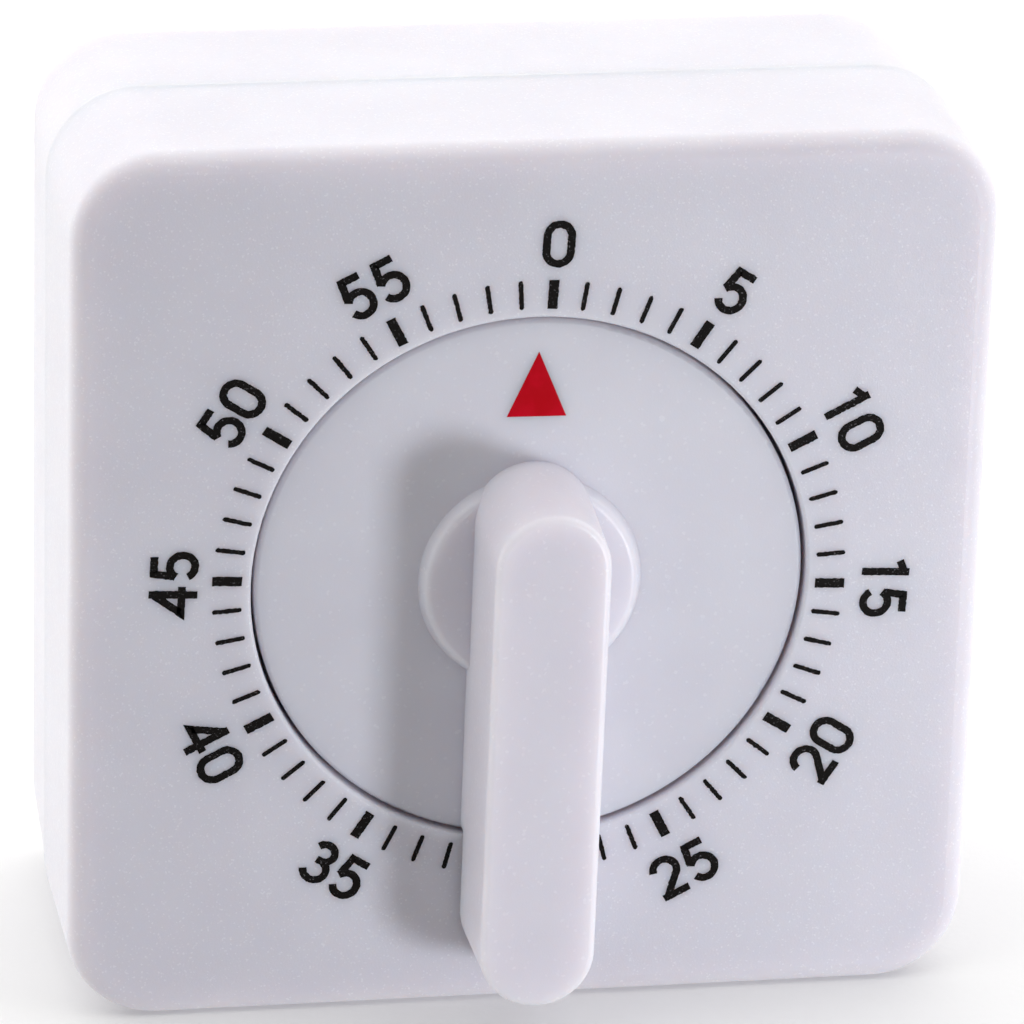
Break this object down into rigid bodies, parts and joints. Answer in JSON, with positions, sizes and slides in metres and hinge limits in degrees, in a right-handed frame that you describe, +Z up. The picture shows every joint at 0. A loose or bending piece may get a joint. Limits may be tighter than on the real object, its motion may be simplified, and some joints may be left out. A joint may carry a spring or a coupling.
{
  "type": "mechanical lab timer",
  "caption": "Square wind-up sixty-minute timer with a round dial, bar handle, printed minute ring and a geared movement with escapement, hammer and gong.",
  "frame": {"origin": "middle of the flat underside that the case stands on", "axes": "+Z up, +Y from the dial towards the back, +X to the right as seen from the dial side"},
  "size_m": [0.0668, 0.04, 0.0666],
  "materials": {
    "front_housing_plastic": "fine spark-eroded texture, satin",
    "rear_cover_plastic": "fine spark-eroded texture, satin",
    "knob_plastic": "satin moulding",
    "brass": "rolled and milled",
    "plate_steel": "stamped sheet",
    "spring_steel": "blued strip",
    "gong_steel": "pressed, nickel plated",
    "zinc_plated_steel": "zinc plated",
    "black_ink": "pad-printed ink",
    "pointer_red": "hot-stamped foil",
    "turned_steel": "turned"
  },
  "bodies": {
    "case": {"front_housing": "front_housing_plastic", "rear_cover": "rear_cover_plastic", "case_screws": "zinc_plated_steel", "front_plate": "plate_steel", "rear_plate": "plate_steel", "plate_pillars": "turned_steel", "pillar_nuts": "zinc_plated_steel", "spring_post": "turned_steel", "movement_screws": "zinc_plated_steel", "mainspring": "spring_steel", "lever_spring": "spring_steel", "hammer_spring": "spring_steel", "hammer_stud": "turned_steel", "gong": "gong_steel", "gong_post": "brass", "gong_screw": "zinc_plated_steel"},
    "dial": {"dial_knob": "knob_plastic", "main_arbor": "turned_steel", "zero_cam": "brass", "ratchet_wheel": "plate_steel", "spacer_washer": "brass"},
    "great_wheel_group": {"great_wheel": "brass", "click_stud": "turned_steel", "click_spring": "spring_steel"},
    "click_group": {"click": "plate_steel"},
    "second_group": {"second_arbor": "turned_steel", "second_wheel": "brass"},
    "third_group": {"third_arbor": "turned_steel", "third_wheel": "brass", "alarm_star_wheel": "brass"},
    "escape_group": {"escape_arbor": "turned_steel", "escape_wheel": "brass"},
    "anchor_group": {"anchor_arbor": "turned_steel", "anchor": "plate_steel", "pallet_pins": "turned_steel", "balance_bar": "brass"},
    "alarm_lever_group": {"alarm_lever": "plate_steel", "alarm_arbor": "turned_steel", "hold_off_arm": "plate_steel"},
    "hammer_group": {"hammer": "plate_steel", "hammer_head": "brass"}
  },
  "joints": [
    {"name": "dial_turn", "type": "hinge", "parent": "case", "child": "dial", "pos_m": [0, -0.0147, 0.0332], "axis": [0, 1, 0], "range_deg": [0, 350], "deforming": ["mainspring"]},
    {"name": "escape_spin", "type": "hinge", "parent": "case", "child": "escape_group", "pos_m": [0.00526, -0.0011, 0.05], "axis": [0, 1, 0], "continuous": true},
    {"name": "third_spin", "type": "hinge", "parent": "case", "child": "third_group", "pos_m": [0.01365, -0.0031, 0.04685], "axis": [0, 1, 0], "continuous": true},
    {"name": "second_spin", "type": "hinge", "parent": "case", "child": "second_group", "pos_m": [0.01406, -0.0061, 0.0363], "axis": [0, 1, 0], "continuous": true},
    {"name": "great_spin", "type": "hinge", "parent": "case", "child": "great_wheel_group", "pos_m": [0, -0.0047, 0.0332], "axis": [0, 1, 0], "continuous": true},
    {"name": "click_rock", "type": "hinge", "parent": "great_wheel_group", "child": "click_group", "pos_m": [-0.00213, -0.0036, 0.02425], "axis": [0, -1, 0], "range_deg": [-4, 5], "stiffness_Nm_per_rad": 0.0003, "deforming": ["click_spring"]},
    {"name": "anchor_rock", "type": "hinge", "parent": "case", "child": "anchor_group", "pos_m": [-0.00182, -0.0002, 0.05131], "axis": [0, 1, 0], "range_deg": [-5.5, 5.5]},
    {"name": "alarm_lever_rock", "type": "hinge", "parent": "case", "child": "alarm_lever_group", "pos_m": [-0.0132, -0.0061, 0.0428], "axis": [0, -1, 0], "range_deg": [-4, 1], "stiffness_Nm_per_rad": 0.003, "deforming": ["lever_spring"]},
    {"name": "hammer_rock", "type": "hinge", "parent": "case", "child": "hammer_group", "pos_m": [0.00775, 0.0045, 0.04272], "axis": [0, 1, 0], "range_deg": [-6, 4], "stiffness_Nm_per_rad": 0.002, "deforming": ["hammer_spring"]}
  ],
  "couplings": [
    {"joint": "third_spin", "follows": "escape_spin", "ratio": -0.14286},
    {"joint": "second_spin", "follows": "escape_spin", "ratio": 0.020408},
    {"joint": "great_spin", "follows": "escape_spin", "ratio": -0.0029155}
  ]
}
